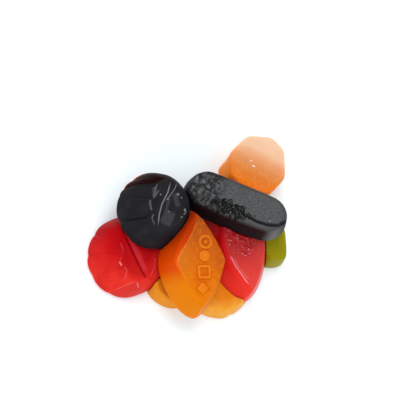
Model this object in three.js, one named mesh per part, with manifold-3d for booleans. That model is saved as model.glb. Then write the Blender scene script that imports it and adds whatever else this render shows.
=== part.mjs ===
// A small heap of wine gums, as nine of them lie after being tipped out.
// Millimetres, +Z up, table top at z = 0, middle of the heap over the origin.
//
// Every gum is cast in a starch mould, so each one is the same construction:
// a flat foot, a wall that leans in, a rounded crest and a slightly sunken top.
// Foot and crest are closed curves given as a radius at each angle, with the
// gum's long way, or the fan of its crown, along its own +Y. Flutes in the wall
// part the petals of a crown's fan.
// Where two gums press on each other, the one on top keeps its shape and the
// one beneath gives way.

import * as THREE from 'three';
import { mergeVertices } from 'three/addons/utils/BufferGeometryUtils.js';
import Module from 'manifold-3d';

const wasm = await Module();
wasm.setup();

// ---------------------------------------------------------------- dimensions

const GAP = 0.3;             // clear space where one gum presses into another
const HEAP_MIDDLE = [-2.45, -6.63]; // middle of the heap in the layout below

const CROWN_HEIGHT = 8.0;    // crown-shaped gums
const LOZENGE_HEIGHT = 8.0;
const BAR_HEIGHT = 7.4;
const BAR_LENGTH = 28.4;
const BAR_WIDTH = 11.6;
const OCTAGON_HEIGHT = 7.5;
const GREEN_HEIGHT = 6.6;
const AMBER_HEIGHT = 5.0;    // the two flat gums under the lozenges

const FOOT_INSET = 0.35;     // rounding at the foot of every wall
const CREST_INSET = 0.6;     // rounding at its top
const DISH = 0.15;           // how far every top sinks
const LIP = 1.8;             // width of the rim around a sunken top
const FLUTE_DEPTH = 0.5;     // of a full flute between two petals, at the foot
const FLUTE_SPREAD = 5;      // degrees over which a petal falls off into a flute
const GROOVE_DEPTH = 0.45;   // straight line across the red crown, and the bar's lip
const GROOVE_WIDTH = 0.9;
const MARK_HEIGHT = 0.45;    // raised marks on the orange lozenge
const MARK_LINE = 0.8;
const MARK_ROOT = 2;         // how thick a mark is, most of it inside the gum
const STRIP_HEIGHT = 0.3;    // worn raised strips on the bar
const STRIP_LENGTH = 1.5;

const PRESSING_SIDES = 48;   // sides of the swollen body that presses into the gums beneath

// --------------------------------------------------------------- flat curves

const TURN = Math.PI * 2;
const rad = THREE.MathUtils.degToRad;

// Polygon with soft corners: the distance of each side from the middle, the
// sides evenly spaced anticlockwise from +X. A higher corner value is crisper.
const sided = (sides, corner) => (angle) => {
  let sum = 0;
  sides.forEach((distance, i) => {
    const facing = Math.cos(angle - (i / sides.length) * TURN);
    if (facing > 0.08) sum += (facing / distance) ** corner;
  });
  return sum ** (-1 / corner);
};

// Pointed oval: half width, half length, and a power between 1 (a rhombus)
// and 2 (an ellipse).
const lozenge = (a, b, power) => (angle) =>
  (Math.abs(Math.cos(angle) / a) ** power + Math.abs(Math.sin(angle) / b) ** power) ** (-1 / power);

// Two straight sides joined by half circles.
const oblong = (length, width) => (angle) => {
  const r = width / 2;
  const straight = length / 2 - r;
  const c = Math.abs(Math.cos(angle));
  const s = Math.abs(Math.sin(angle));
  if (s * r < straight * c) return r / c;
  return straight * s + Math.sqrt(r * r - (straight * c) ** 2);
};

// ------------------------------------------------------------- gum bodies

// Heights of the rings from foot to crest: how far in from the foot curve
// towards the crest curve (0 to 1), a further inset in mm, and the height as a
// share of the wall.
const STRAIGHT_WALL = [[0.0, 0.0, 0.07], [0.45, -0.12, 0.5], [0.92, -0.06, 0.9], [1.0, 0.22, 0.975]];
const DOMED_WALL = [
  [0.02, 0.0, 0.07], [0.05, 0.0, 0.2], [0.32, 0.0, 0.56],
  [0.6, 0.0, 0.8], [0.84, 0.0, 0.93], [0.96, 0.1, 0.985],
];

// How far flutes pull the wall in. Each runs from one angle at the foot to
// another at the crest, in degrees, is deepest at the foot, and has a strength
// from 0 to 1.
function fluteInset(flutes, angle, share) {
  let inset = 0;
  for (const [low, high, strength] of flutes) {
    const off = THREE.MathUtils.radToDeg(angle) - (low + (high - low) * share);
    inset += strength * FLUTE_DEPTH * (1 - 0.5 * share) * Math.exp(-Math.abs(off) / FLUTE_SPREAD);
  }
  return inset;
}

// A gum standing on its foot, with `count` sides. `taper` narrows its +Y end.
// `grow` swells the whole body, which then has a plain flat top.
function gumBody({ foot, crest, height, wall, flutes = [], taper = 0 }, count, grow = 0) {
  const rings = [];
  const ring = (radius, z) => {
    const points = [];
    for (let i = 0; i < count; i++) {
      const angle = (i / count) * TURN;
      const r = Math.max(radius(angle), 0.2);
      const y = r * Math.sin(angle);
      const narrower = 1 - taper * Math.max(y / foot(Math.PI / 2), 0) ** 2;
      points.push(new THREE.Vector3(r * Math.cos(angle) * narrower, y, z));
    }
    rings.push(points);
  };
  const between = (share, inset) => (angle) =>
    foot(angle) * (1 - share) + crest(angle) * share - fluteInset(flutes, angle, share) - inset + grow;
  ring((angle) => (foot(angle) + grow) * 0.55, -grow);
  ring(between(0, FOOT_INSET), -grow);
  wall.forEach(([share, inset, level]) => ring(between(share, inset), level * height));
  ring(between(1, CREST_INSET), height + grow);
  if (grow === 0) {
    const field = (angle) => crest(angle) - CREST_INSET - LIP;
    ring(field, height - DISH);
    ring((angle) => field(angle) * 0.5, height - DISH * 1.3);
  }

  const positions = rings.flat().flatMap((p) => [p.x, p.y, p.z]);
  const under = positions.length / 3;
  positions.push(0, 0, -grow);
  positions.push(0, 0, rings.at(-1)[0].z);
  const index = [];
  for (let i = 0; i < count; i++) {
    const next = (i + 1) % count;
    index.push(under, next, i);
    for (let r = 0; r + 1 < rings.length; r++) {
      const a = r * count;
      const b = a + count;
      index.push(a + i, a + next, b + next, a + i, b + next, b + i);
    }
    const last = (rings.length - 1) * count;
    index.push(under + 1, last + i, last + next);
  }
  const geometry = new THREE.BufferGeometry();
  geometry.setAttribute('position', new THREE.Float32BufferAttribute(positions, 3));
  geometry.setIndex(index);
  return geometry;
}

// A V-shaped cutter along a straight groove in a top that lies at height z.
function grooveCutter(from, to, z) {
  const above = 1.5;
  const half = (GROOVE_WIDTH / 2) * (1 + above / GROOVE_DEPTH);
  const along = new THREE.Vector2(to[0] - from[0], to[1] - from[1]).normalize();
  const corners = [from, to].flatMap(([x, y]) => [
    [x, y, z - GROOVE_DEPTH],
    [x + along.y * half, y - along.x * half, z + above],
    [x - along.y * half, y + along.x * half, z + above],
  ]);
  const geometry = new THREE.BufferGeometry();
  geometry.setAttribute('position', new THREE.Float32BufferAttribute(corners.flat(), 3));
  geometry.setIndex([0, 1, 2, 3, 5, 4, 0, 3, 4, 0, 4, 1, 1, 4, 5, 1, 5, 2, 2, 5, 3, 2, 3, 0]);
  return geometry;
}

// Raised marks: a bar between two points, a ring, a dot, a diamond, a square.
function bar(from, to, z) {
  const length = Math.hypot(to[0] - from[0], to[1] - from[1]);
  return new THREE.BoxGeometry(length + MARK_LINE, MARK_LINE, MARK_ROOT)
    .rotateZ(Math.atan2(to[1] - from[1], to[0] - from[0]))
    .translate((from[0] + to[0]) / 2, (from[1] + to[1]) / 2, z - MARK_ROOT / 2);
}

function ringMark([x, y], radius, z) {
  const inner = radius - MARK_LINE / 2;
  const outer = radius + MARK_LINE / 2;
  const profile = [[inner, -MARK_ROOT], [outer, -MARK_ROOT], [outer, 0], [inner, 0], [inner, -MARK_ROOT]]
    .map(([r, level]) => new THREE.Vector2(r, level));
  return new THREE.LatheGeometry(profile, 20).rotateX(Math.PI / 2).translate(x, y, z);
}

const dotMark = ([x, y], radius, z) =>
  new THREE.CylinderGeometry(radius, radius, MARK_ROOT, 12)
    .rotateX(Math.PI / 2).translate(x, y, z - MARK_ROOT / 2);

const diamondMark = ([x, y], half, z) =>
  new THREE.BoxGeometry(half * 2, half * 2, MARK_ROOT)
    .rotateZ(TURN / 8).translate(x, y, z - MARK_ROOT / 2);

const squareMark = ([x, y], half, z) => [
  bar([x - half, y - half], [x + half, y - half], z),
  bar([x - half, y + half], [x + half, y + half], z),
  bar([x - half, y - half], [x - half, y + half], z),
  bar([x + half, y - half], [x + half, y + half], z),
];

// ----------------------------------------------------------------- the gums

const crown = (foot, crest, flutes) => ({
  foot: sided(foot, 9), crest: sided(crest, 9), flutes,
  height: CROWN_HEIGHT, wall: DOMED_WALL,
});
const oval = ([a, b, power], [crestA, crestB, crestPower]) => ({
  foot: lozenge(a, b, power), crest: lozenge(crestA, crestB, crestPower),
  height: LOZENGE_HEIGHT, wall: STRAIGHT_WALL,
});
const low = (sides, corner, inset, height, flutes) => ({
  foot: sided(sides, corner), crest: sided(sides.map((distance) => distance - inset), corner), flutes,
  height, wall: STRAIGHT_WALL,
});

const topOfLozenge = LOZENGE_HEIGHT - DISH + MARK_HEIGHT;
const topOfBar = BAR_HEIGHT - DISH + STRIP_HEIGHT;
const octagonFoot = sided([9.2, 9.7, 9.0, 6.3, 8.7, 8.9, 9.0, 8.6], 20);
const octagonCrest = sided([7.9, 8.8, 7.9, 7.5, 7.7, 7.7, 7.8, 7.8], 20);

// Two rows of short strips across one end of the bar.
const barStrips = [-12.0, -10.2, -8.4, -6.6].flatMap((y) => [-1.4, 1.8].map((x) =>
  bar([x - STRIP_LENGTH / 2, y], [x + STRIP_LENGTH / 2, y], topOfBar)));

// Listed from the top of the heap down, the way they cover one another.
// `at` is the middle of the foot, `turn` points the gum's +Y (0 is the heap's
// +Y), and the gum then leans by `lean` degrees towards the heading `toward`.
const GUMS = {
  black_crown: {
    body: crown(
      [10.1, 9.4, 9.4, 9.6, 10.3, 9.9, 9.9, 10.3], [6.8, 6.2, 3.4, 6.2, 6.9, 6.8, 6.9, 6.8],
      [[42, 15, 0.5], [63, 30, 0.7], [77, 80, 0.4], [119, 145, 1]],
    ),
    count: 72, at: [-14.6, -4.7, 7.7], turn: 83, lean: 4.3, toward: 80,
    colour: 0x201f22, roughness: 0.3,
  },
  black_bar: {
    body: {
      foot: oblong(BAR_LENGTH, BAR_WIDTH), crest: oblong(BAR_LENGTH - 2.2, BAR_WIDTH - 2.2),
      height: BAR_HEIGHT, wall: STRAIGHT_WALL, taper: 0.12,
    },
    count: 56, at: [7.7, -2.9, 8.0], turn: -111.5, lean: 10.4, toward: 148,
    groove: [[3.3, 3.6], [2.6, 12.0]],
    marks: barStrips,
    colour: 0x2c292b, roughness: 0.45,
  },
  orange_lozenge: {
    body: oval([8.6, 14.0, 1.6], [6.8, 11.7, 1.2]),
    count: 56, at: [-4.3, -17.9, 7.7], turn: 4, lean: 2.6, toward: -23,
    marks: [
      ringMark([1.7, 4.6], 1.5, topOfLozenge), dotMark([1.7, 4.6], 0.5, topOfLozenge),
      dotMark([1.2, 1.1], 1.5, topOfLozenge),
      ...squareMark([0.9, -2.9], 1.4, topOfLozenge),
      diamondMark([0.2, -7.0], 1.2, topOfLozenge),
    ],
    colour: 0xd8641a, roughness: 0.3,
  },
  red_lozenge: {
    body: oval([9.1, 14.4, 1.8], [6.2, 12.4, 1.35]),
    count: 56, at: [9.4, -12.6, 1.4], turn: 10, lean: 3.6, toward: 0,
    colour: 0xc62025, roughness: 0.3,
  },
  red_crown: {
    body: crown(
      [10.3, 10.6, 11.1, 11.4, 10.5, 10.9, 10.5, 10.3], [6.6, 6.4, 4.2, 6.8, 7.4, 7.2, 6.8, 7.0],
      [[35, 40, 0.8], [67, 71, 0.8], [95, 118, 0.5], [130, 130, 0.4]],
    ),
    count: 72, at: [-18.9, -15.4, 0], turn: 115.5,
    groove: [[3.8, 0.6], [-6.8, 0.2]],
    colour: 0xc41c22, roughness: 0.28,
  },
  pale_octagon: {
    body: { foot: octagonFoot, crest: octagonCrest, height: OCTAGON_HEIGHT, wall: STRAIGHT_WALL },
    count: 56, at: [14.7, 9.6, 0], turn: 0.7,
    colour: 0xeda768, roughness: 0.35,
  },
  green_gum: {
    body: low([4.4, 5.7, 6.6, 6.1, 5.4, 6.0, 6.6, 6.7], 10, 1.5, GREEN_HEIGHT),
    count: 40, at: [20.0, -10.4, 0], turn: 3.5,
    colour: 0x8c8418, roughness: 0.35,
  },
  amber_crown: {
    body: low([8.4, 7.8, 7.6, 8.1, 7.9, 7.9, 7.9, 8.0], 10, 1.6, AMBER_HEIGHT, [[72, 72, 1]]),
    count: 45, at: [6.2, -23.1, 0], turn: -140,
    colour: 0xe6a03c, roughness: 0.35,
  },
  amber_round: {
    body: low([7.2, 7.5, 7.0, 7.4, 7.2, 7.0, 7.0, 7.0], 6, 1.5, AMBER_HEIGHT),
    count: 44, at: [-7.0, -21.7, 0], turn: 153.5,
    colour: 0xdc8c30, roughness: 0.35,
  },
};

// ------------------------------------------------------------------ assembly

// Where a gum stands: turned about its own axis, then leaned over.
function placement({ at, turn, lean = 0, toward = 0 }) {
  const leanAxis = new THREE.Vector3(-Math.sin(rad(toward)), Math.cos(rad(toward)), 0);
  const rotation = new THREE.Quaternion().setFromAxisAngle(leanAxis, rad(lean))
    .multiply(new THREE.Quaternion().setFromAxisAngle(new THREE.Vector3(0, 0, 1), rad(turn)));
  const position = new THREE.Vector3(at[0] - HEAP_MIDDLE[0], at[1] - HEAP_MIDDLE[1], at[2]);
  return new THREE.Matrix4().compose(position, rotation, new THREE.Vector3(1, 1, 1));
}

// A closed three.js geometry as a solid for joining and cutting.
function solid(geometry) {
  const plain = geometry.clone();
  plain.deleteAttribute('normal');
  plain.deleteAttribute('uv');
  const merged = mergeVertices(plain, 1e-4);
  return new wasm.Manifold(new wasm.Mesh({
    numProp: 3,
    vertProperties: Float32Array.from(merged.attributes.position.array),
    triVerts: Uint32Array.from(merged.index.array),
  }));
}

// The largest piece of a solid, as a geometry: crumbs left by a cut are dropped.
function largestPiece(shape) {
  const pieces = shape.decompose().sort((a, b) => b.volume() - a.volume());
  const mesh = pieces[0].getMesh();
  const geometry = new THREE.BufferGeometry();
  geometry.setAttribute('position', new THREE.Float32BufferAttribute(mesh.vertProperties, 3));
  geometry.setIndex(new THREE.Uint32BufferAttribute(mesh.triVerts, 1));
  return geometry.toNonIndexed();
}

function shapedGum(gum) {
  let shape = solid(gumBody(gum.body, gum.count));
  if (gum.groove) {
    const [from, to] = gum.groove;
    shape = shape.subtract(solid(grooveCutter(from, to, gum.body.height - DISH)));
  }
  for (const mark of gum.marks ?? []) shape = shape.add(solid(mark));
  return shape;
}

const heap = new THREE.Group();
heap.name = 'heap_of_wine_gums';

const covering = [];
for (const [name, gum] of Object.entries(GUMS)) {
  const place = placement(gum);
  let shape = shapedGum(gum);
  for (const above of covering) {
    const pressing = gumBody(above.gum.body, PRESSING_SIDES, GAP)
      .applyMatrix4(new THREE.Matrix4().copy(place).invert().multiply(above.place));
    shape = shape.subtract(solid(pressing));
  }
  covering.push({ gum, place });

  const mesh = new THREE.Mesh(
    largestPiece(shape),
    new THREE.MeshStandardMaterial({
      color: gum.colour, roughness: gum.roughness, metalness: 0, flatShading: true,
    }),
  );
  mesh.name = name;
  place.decompose(mesh.position, mesh.quaternion, mesh.scale);
  heap.add(mesh);
}

export default heap;
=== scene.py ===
"""Looks of a small heap of wine gums, laid out as a Blender add-on and run as a script."""

import math

import bmesh
import bpy
import numpy as np
from bpy.props import FloatProperty, FloatVectorProperty, PointerProperty
from bpy.types import Operator, Panel, PropertyGroup
from mathutils import Matrix, Quaternion, Vector


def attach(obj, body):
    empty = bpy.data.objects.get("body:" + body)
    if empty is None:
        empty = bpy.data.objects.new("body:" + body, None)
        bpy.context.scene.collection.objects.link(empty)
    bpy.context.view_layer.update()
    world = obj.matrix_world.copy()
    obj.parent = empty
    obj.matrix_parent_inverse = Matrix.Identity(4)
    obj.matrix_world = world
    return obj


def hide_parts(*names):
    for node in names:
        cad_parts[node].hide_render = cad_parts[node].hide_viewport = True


bl_info = {
    "name": "Heap of wine gums",
    "version": (1, 0, 0),
    "blender": (4, 5, 0),
    "location": "View3D > Sidebar > Wine gums",
    "description": "Pours nine moulded wine gums with gelatine finishes, and sets a table and light",
    "category": "Object",
}

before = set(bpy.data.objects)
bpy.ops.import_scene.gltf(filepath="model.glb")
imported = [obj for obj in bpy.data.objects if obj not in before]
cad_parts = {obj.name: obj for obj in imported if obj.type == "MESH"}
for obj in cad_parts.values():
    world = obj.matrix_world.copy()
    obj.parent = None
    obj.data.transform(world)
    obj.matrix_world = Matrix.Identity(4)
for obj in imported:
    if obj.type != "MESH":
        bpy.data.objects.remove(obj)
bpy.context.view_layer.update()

MM = 0.001
TURN = 2 * math.pi

# Middle of the heap in the layout in which the gums' feet are placed, in mm.
HEAP_MIDDLE = (-2.45, -6.63)

CROWN_HEIGHT = 8.0
LOZENGE_HEIGHT = 8.0
BAR_HEIGHT = 7.4
BAR_LENGTH = 28.4
BAR_WIDTH = 11.6
BAR_SLOPE = 2.2         # how much narrower its crest is than its foot
OCTAGON_HEIGHT = 7.5
GREEN_HEIGHT = 6.6
AMBER_HEIGHT = 5.0

FOOT_INSET = 0.35
CREST_INSET = 0.6
DISH = 0.15
LIP = 1.8
LIP_SHARE = 0.2         # of the way inward, with 1 for the wall and 1 for the top
FLUTE_SPREAD = 5.0      # degrees
FLUTE_ROUNDING = 1.2    # degrees
# The dark line of a crease is painted shade.
CREASE_SPREAD = 2.0     # degrees, of the dark line in a flute
GROOVE_DEPTH = 0.45
MARK_LINE = 0.8
STRIP_HEIGHT = 0.3
STRIP_LENGTH = 1.5
BAR_STRIP_ROWS = (-12.0, -10.2, -8.4, -6.6)
BAR_STRIP_COLUMNS = (-1.4, 1.8)

# The photographer's place: the point aimed at, the heading and height of the
# camera seen from it, how far it is turned about its own view, and its lens.
CAMERA_TARGET = (3.39, 7.27, 0.0)
CAMERA_AZIMUTH = -55.88
CAMERA_ELEVATION = 69.18
CAMERA_ROLL = 57.65
CAMERA_DISTANCE = 297.2
CAMERA_LENS = 100.0
SENSOR = 36.0

# The painted bluish shade of the ground near the heap starts to fade and ends at these distances, in mm.
TINT_START = 25.0
TINT_END = 42.0

# The table and the lamps, in metres.
TABLE_WIDTH = 1.2
WINDOW = (-0.05, 0.19, 0.47)
WINDOW_SIZE = 0.30
REFLECTOR = (-0.12, -0.42, 0.26)
REFLECTOR_SIZE = 0.40

# ----------------------------------------------------------------- settings


def colour(name, description, default):
    return FloatVectorProperty(name=name, description=description, subtype="COLOR",
                               size=3, min=0.0, max=1.0, default=default)


def length(name, description, default):
    return FloatProperty(name=name, description=description, default=default * MM,
                         subtype="DISTANCE", unit="LENGTH")


class GumSizes(PropertyGroup):
    gap: length("Gap", "Clear space kept where one gum presses on another", 0.3)
    mark_height: length("Mark height", "How far the raised marks stand out", 0.38)
    ridge_height: length("Ridge height", "How far the thin moulded ridges stand out", 0.16)
    flute_depth: length("Flute depth", "How deep the flutes between the petals of a crown are", 0.5)


class GumColours(PropertyGroup):
    black: colour("Black", "Blackcurrant gum, surface", (0.0145, 0.0135, 0.0155))
    black_thin: colour("Thin black", "Blackcurrant gum where light comes through", (0.014, 0.0025, 0.002))
    # Painted light coming through the thin foot of the blackcurrant gum.
    black_lit_fringe: colour("Black fringe", "Blackcurrant gum at its thin foot", (0.38, 0.024, 0.004))
    # Grey of the bar's dulled top, standing partly for painted sheen.
    dull: colour("Dulled black", "Dulled top of the black bar", (0.082, 0.083, 0.083))
    red: colour("Red", "Red gum", (0.52, 0.005, 0.009))
    # Red painted as shade on far sides, in creases and over the crown's top, and the darker red of the
    # mottle.
    red_shade_and_mottle: colour("Deep red", "Red gum, deep or shaded side", (0.38, 0.0, 0.002))
    red_light: colour("Light red", "Red gum where the table lights it", (0.76, 0.031, 0.021))
    orange: colour("Orange", "Orange gum, top", (0.56, 0.115, 0.006))
    # Orange painted as shade on the far end of the wall.
    orange_shade: colour("Deep orange", "Orange gum, deep or shaded side", (0.40, 0.026, 0.0))
    orange_light: colour("Light orange", "Orange gum where the table lights it", (0.72, 0.188, 0.0))
    pale: colour("Pale orange", "Pale orange gum under its bloom", (0.76, 0.235, 0.036))
    pale_deep: colour("Deep pale orange", "Pale orange gum at its edges", (0.92, 0.21, 0.003))
    # Whitish bloom of the pale gum, partly painted sheen.
    bloom_and_sheen: colour("Bloom", "Whitish bloom on the pale gum", (0.86, 0.62, 0.44))
    green: colour("Green", "Olive green gum", (0.285, 0.248, 0.002))
    green_deep: colour("Deep green", "Olive green gum, inside", (0.265, 0.228, 0.003))
    amber: colour("Amber", "Amber gum, rim", (0.80, 0.35, 0.035))
    # Amber in painted shade for the round amber gum's rim.
    amber_round: colour("Round amber", "Rim of the round amber gum", (0.73, 0.26, 0.014))
    amber_deep: colour("Deep amber", "Amber gums, inside", (0.72, 0.195, 0.001))


class StageSettings(PropertyGroup):
    table: colour("Table", "White ground under the heap", (0.93, 0.93, 0.93))
    # Painted bluish shade of the ground close to the heap.
    table_near_shade: colour("Table near the heap", "Bluish white of the ground close to the heap",
                       (0.88, 0.935, 0.945))
    table_glow: colour("Table glow", "Bluish light that the white ground passes on", (0.75, 0.95, 1.0))
    glow_strength: FloatProperty(name="Glow strength", description="Strength of the table glow",
                                 default=0.1, min=0.0)
    lamp_power: FloatProperty(name="Lamp power", description="Power of the soft main lamp", default=0.75,
                              min=0.0, unit="POWER")
    fill_power: FloatProperty(name="Fill power", description="Power of the low fill lamp", default=0.5,
                              min=0.0, unit="POWER")
    room_tint: colour("Room tint", "Colour of the even light of the room", (0.93, 0.97, 1.0))
    room_light: FloatProperty(name="Room light", description="Strength of the even light of the room",
                              default=0.92, min=0.0)


class WineGumSettings(PropertyGroup):
    sizes: PointerProperty(type=GumSizes, name="Sizes", description="Sizes of the fine relief")
    colours: PointerProperty(type=GumColours, name="Colours", description="Colours of the gums")
    stage: PointerProperty(type=StageSettings, name="Stage", description="Table and light")


# -------------------------------------------------------------- flat curves


def sided(sides, corner):
    """Polygon with soft corners, from the distance of each side from the middle."""
    facings = np.arange(len(sides)) / len(sides) * TURN
    distances = np.array(sides, float)

    def radius(angle):
        facing = np.maximum(np.cos(np.asarray(angle)[..., None] - facings), 1e-6)
        return ((facing / distances) ** corner).sum(-1) ** (-1 / corner)
    return radius


def lozenge(a, b, power):
    """Pointed oval of half width a and half length b."""
    def radius(angle):
        return (np.abs(np.cos(angle) / a) ** power + np.abs(np.sin(angle) / b) ** power) ** (-1 / power)
    return radius


def oblong(length, width):
    """Two straight sides joined by half circles."""
    r = width / 2
    straight = length / 2 - r

    def radius(angle):
        c, s = np.abs(np.cos(angle)), np.abs(np.sin(angle))
        end = straight * s + np.sqrt(np.maximum(r * r - (straight * c) ** 2, 0))
        return np.where(s * r < straight * c, r / np.maximum(c, 1e-9), end)
    return radius


# ------------------------------------------------------------- fine relief


def smooth_step(low, high, value):
    t = np.clip((value - low) / (high - low), 0, 1)
    return t * t * (3 - 2 * t)


def away_from(points, x, y):
    """Distance of each x, y from a chain of points, how far along it the nearest
    point is, and on which side the place lies (above 0 on the left)."""
    best = np.full(x.shape, 1e9)
    share = np.zeros(x.shape)
    side = np.zeros(x.shape)
    steps = len(points) - 1
    for i, ((x0, y0), (x1, y1)) in enumerate(zip(points, points[1:])):
        dx, dy = x1 - x0, y1 - y0
        t = np.clip(((x - x0) * dx + (y - y0) * dy) / (dx * dx + dy * dy), 0, 1)
        d = np.hypot(x - x0 - t * dx, y - y0 - t * dy)
        nearer = d < best
        best = np.where(nearer, d, best)
        share = np.where(nearer, (i + t) / steps, share)
        side = np.where(nearer, (y - y0) * dx - (x - x0) * dy, side)
    return best, share, side


def box_distance(x, y, middle, half_x, half_y, turn=0.0, corner=0.15):
    """Distance outside a box with rounded corners, below 0 inside it."""
    c, s = math.cos(turn), math.sin(turn)
    u = np.abs((x - middle[0]) * c + (y - middle[1]) * s) - half_x + corner
    v = np.abs(-(x - middle[0]) * s + (y - middle[1]) * c) - half_y + corner
    outside = np.hypot(np.maximum(u, 0), np.maximum(v, 0))
    return outside + np.minimum(np.maximum(u, v), 0) - corner


MASKS = ("line", "dent", "mark", "patch")
WAVELENGTHS = (11.0, 7.0, 4.5, 3.1)
GLINT_HEIGHT = 0.15


class Relief:
    """Fine forms of one gum: their heights in mm, and the masks its finish reads."""

    def __init__(self, x, y, sizes):
        self.x, self.y, self.sizes = x, y, sizes
        self.height = np.zeros_like(x)
        self.masks = {name: np.zeros_like(x) for name in MASKS}

    def add(self, mask, shape, height):
        self.masks[mask] = np.maximum(self.masks[mask], shape)
        self.height = self.height + shape * height

    def waves(self, seed, depth):
        """Broad unevenness, as a soft gum has."""
        random = np.random.default_rng(seed)
        for wavelength in WAVELENGTHS:
            heading, phase = random.uniform(0, TURN, 2)
            along = self.x * math.cos(heading) + self.y * math.sin(heading)
            self.height = self.height + depth * 0.5 * np.sin(along * TURN / wavelength + phase)

    def ridge(self, points, width=0.5, share=1.0):
        """A thin raised line that tapers off at both ends."""
        d, along, _ = away_from(points, self.x, self.y)
        taper = np.clip(np.minimum(along, 1 - along) * 6, 0.2, 1)
        line = np.exp(-(d / (width / 2)) ** 2) * taper
        self.add("line", line * share, self.sizes.ridge_height / MM)

    def groove(self, points, steep=0.25, bevel=0.9, dark=0.28):
        """A groove with a steep side on the left of its line and a wide bevel on the right."""
        d, _, side = away_from(points, self.x, self.y)
        reach = np.where(side > 0, steep, bevel)
        dent = np.clip(1 - d / reach, 0, 1)
        self.height = self.height - GROOVE_DEPTH * smooth_step(0, 1, dent)
        # The dent mask marks where the finishes paint shade in a groove.
        self.masks["dent"] = np.maximum(self.masks["dent"], np.exp(-(d / dark) ** 2))

    def stamp(self, distance, height, soft):
        """A raised mark inside a distance of 0, with a soft side."""
        self.add("mark", 1 - smooth_step(-soft, soft, distance), height)

    def pebbles(self, middle, reach, radius, height, seed, count, bright=1.0):
        """Small bumps strewn over an oval patch, some of them marked for a painted highlight on the tip.
        """
        random = np.random.default_rng(seed)
        for _ in range(count):
            angle, far = random.uniform(0, TURN), random.uniform(0, 1) ** 0.6
            dx = self.x - middle[0] - reach[0] * far * math.cos(angle)
            dy = self.y - middle[1] - reach[1] * far * math.sin(angle)
            r, tall = random.uniform(*radius), random.uniform(0.3, 1)
            bump = np.exp(-(dx * dx + dy * dy) / (r * r))
            self.height = self.height + bump * height * tall
            if tall > bright:
                self.masks["line"] = np.maximum(self.masks["line"], bump ** 3)

    def glints(self, *places, radius=0.3):
        """Small raised specks that catch the light."""
        for x, y in places:
            bump = np.exp(-((self.x - x) ** 2 + (self.y - y) ** 2) / radius ** 2)
            self.add("line", bump, GLINT_HEIGHT)


def black_crown_relief(relief):
    """Thin ridges, two of them long, a few specks, and four dull facets."""
    relief.ridge([(5.3, 1.1), (3.1, 1.5), (0.9, 2.1)], 0.5, 0.6)
    relief.ridge([(3.7, 0.4), (0.5, 2.0)], 0.5, 0.6)
    relief.ridge([(-2.8, 1.1), (-4.2, 1.6), (-6.2, 0.5)], 0.5, 0.6)
    relief.ridge([(-0.9, -6.1), (-0.3, -6.7), (-1.1, -7.0), (-2.3, -6.2)], 0.35, 0.8)
    relief.ridge([(7.0, -2.3), (3.2, -1.8), (-0.2, -0.6), (-2.9, -0.2), (-6.9, -0.2)], 0.4, 0.9)
    relief.ridge([(6.6, -4.0), (4.3, -3.4), (2.2, -2.3), (0.4, -1.2)], 0.4, 0.7)
    relief.ridge([(0.8, 2.6), (-1.0, 2.4), (-2.6, 1.7)], 0.8, 0.6)
    relief.ridge([(-0.1, 8.3), (-1.5, 8.7), (-4.0, 8.3), (-5.3, 7.5)], 0.4, 0.25)
    relief.glints((3.1, -4.4), radius=0.42)
    relief.glints((2.4, -5.4), (2.3, 0.0), (-2.6, -6.0), (-0.8, -6.6), radius=0.25)
    for middle, half, turn in (
            ((-3.4, -2.5), (1.9, 1.4), -0.3), ((-0.2, -2.1), (1.8, 0.4), -0.15),
            ((1.6, -4.2), (1.7, 0.6), 0.4), ((2.6, 1.7), (1.2, 0.5), 0.3)):
        facet = box_distance(relief.x, relief.y, middle, *half, turn=turn, corner=0.4)
        relief.add("patch", 1 - smooth_step(-0.25, 0.25, facet), -0.12)
        relief.pebbles(middle, half, (0.2, 0.45), 0.1, seed=7, count=26, bright=0.95)
    relief.waves(seed=1, depth=0.05)


def red_crown_relief(relief):
    """Thin ridges along its petals and its flat side, a speck, and a groove across its top."""
    relief.ridge([(3.7, 2.4), (2.7, 2.4), (1.4, 2.6), (0.2, 3.3)], 0.34, 0.5)
    relief.ridge([(-2.2, 4.2), (-3.4, 3.8), (-4.7, 4.5), (-5.7, 5.4)], 0.34, 0.5)
    relief.ridge([(-6.7, 9.7), (-7.0, 2.0)], 0.34, 0.5)
    relief.ridge([(0.1, 3.4), (-0.7, 4.7)], 0.4, 0.4)
    relief.ridge([(-0.7, 4.7), (-2.1, 4.5)], 0.45, 1.0)
    relief.ridge([(-7.2, 2.6), (-8.9, 2.2)], 0.4, 0.8)
    relief.ridge([(-2.8, -4.0), (-4.5, -4.0), (-6.5, -2.2), (-8.0, -0.4)], 0.4, 0.45)
    relief.glints((-1.9, 11.0))
    relief.groove([(-6.8, 0.2), (3.8, 0.6)])
    relief.waves(seed=2, depth=0.06)


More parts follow.
